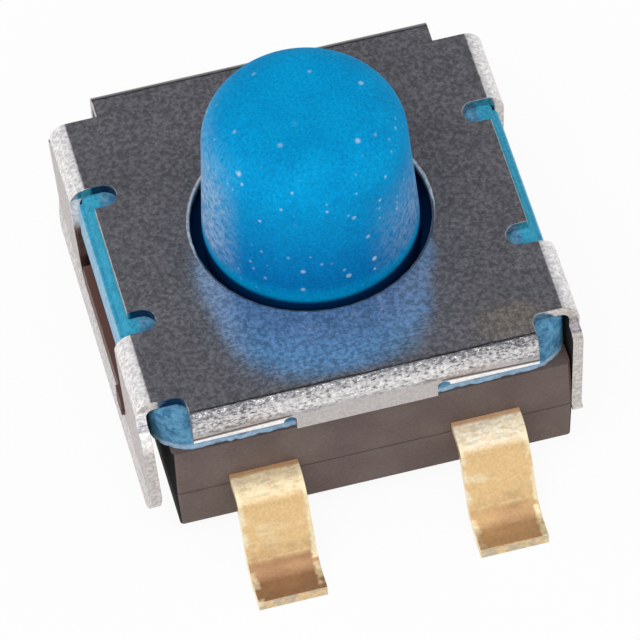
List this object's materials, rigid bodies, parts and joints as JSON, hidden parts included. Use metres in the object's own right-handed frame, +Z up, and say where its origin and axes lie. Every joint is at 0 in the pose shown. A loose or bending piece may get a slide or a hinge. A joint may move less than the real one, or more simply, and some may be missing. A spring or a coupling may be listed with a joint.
{
  "type": "tactile switch",
  "caption": "Sealed surface-mount push switch with a folded metal cover, a tall round silicone button, a moulded housing and gull-wing leads.",
  "frame": {"origin": "on the board under the middle of the cover's hole, level with the undersides of the lead feet", "axes": "+Z up along the button, +X right along the front edge, +Y to the rear; the leads point along -Y and +Y"},
  "size_m": [0.0062, 0.0088, 0.0052],
  "materials": {
    "cover_steel": "satin grey rolled sheet",
    "silicone": "matte blue silicone",
    "housing_plastic": "matte dark brown moulding",
    "lead_gold": "gold plated",
    "dome_steel": "bright"
  },
  "bodies": {
    "base": {"cover": "cover_steel", "housing": "housing_plastic", "rim_contact_strip": "lead_gold", "centre_contact_strip": "lead_gold", "snap_dome": "dome_steel"},
    "button": {"actuator": "silicone"}
  },
  "joints": [
    {"name": "button_press", "type": "slide", "parent": "base", "child": "button", "axis": [0, 0, -1], "range_m": [0, 0.0005], "stiffness_N_per_m": 7000, "deforming": ["actuator", "snap_dome"]}
  ]
}
